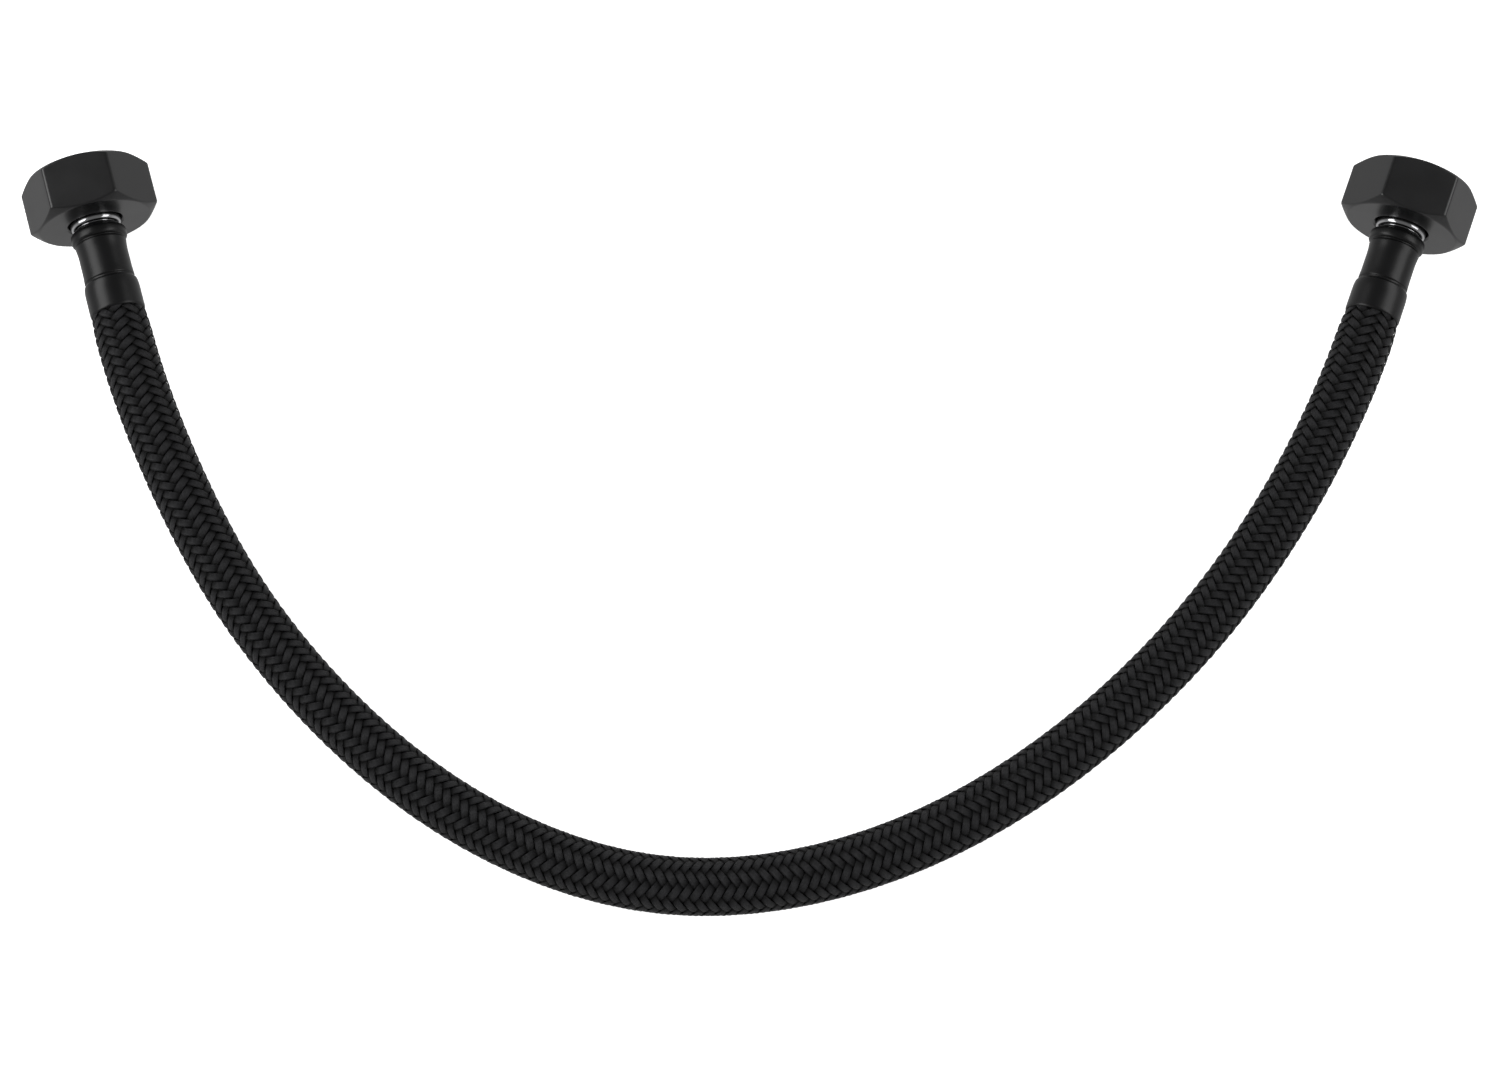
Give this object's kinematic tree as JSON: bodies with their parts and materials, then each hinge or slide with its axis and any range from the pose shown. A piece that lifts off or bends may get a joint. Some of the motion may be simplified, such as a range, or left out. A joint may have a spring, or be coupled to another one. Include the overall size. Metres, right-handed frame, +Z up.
{
  "type": "braided supply line",
  "caption": "Flexible braided water supply line: a rubber inner tube in a black braid, with crimped ferrules and swivel hex nuts with rubber gaskets at its ends.",
  "frame": {"origin": "on the surface that the line rests on, under the middle of the two end fittings", "axes": "+X from the left nut to the right nut, +Y towards the nuts' mouths, +Z up"},
  "size_m": [0.3086, 0.1601, 0.024],
  "materials": {
    "black_nut_coating": "satin black coating on a machined nut",
    "black_ferrule_coating": "satin black coating on pressed sheet",
    "black_braid": "black-coated fine wire in flat plaited bundles",
    "bright_nickel": "bright nickel plating",
    "black_acetal": "turned plastic",
    "gasket_rubber": "moulded matt rubber",
    "tube_rubber": "extruded rubber tube"
  },
  "bodies": {
    "hose_assembly": {"braid": "black_braid", "inner_tube": "tube_rubber", "left_insert": "bright_nickel", "left_ferrule": "black_ferrule_coating", "left_gasket": "gasket_rubber", "right_insert": "bright_nickel", "right_ferrule": "black_ferrule_coating", "right_gasket": "gasket_rubber"},
    "left_slip_ring": {"left_slip_ring": "black_acetal"},
    "left_nut": {"left_nut": "black_nut_coating"},
    "right_slip_ring": {"right_slip_ring": "black_acetal"},
    "right_nut": {"right_nut": "black_nut_coating"}
  },
  "joints": [
    {"name": "left_nut_play", "type": "slide", "parent": "hose_assembly", "child": "left_slip_ring", "axis": [0.2756, -0.9613, 0], "range_m": [0, 0.0018]},
    {"name": "left_nut_swivel", "type": "hinge", "parent": "left_slip_ring", "child": "left_nut", "pos_m": [-0.14052, 0.01259, 0.012], "axis": [-0.2756, 0.9613, 0], "continuous": true},
    {"name": "right_nut_play", "type": "slide", "parent": "hose_assembly", "child": "right_slip_ring", "axis": [-0.342, -0.9397, 0], "range_m": [0, 0.0018]},
    {"name": "right_nut_swivel", "type": "hinge", "parent": "right_slip_ring", "child": "right_nut", "pos_m": [0.14029, 0.01116, 0.012], "axis": [0.342, 0.9397, 0], "continuous": true}
  ]
}
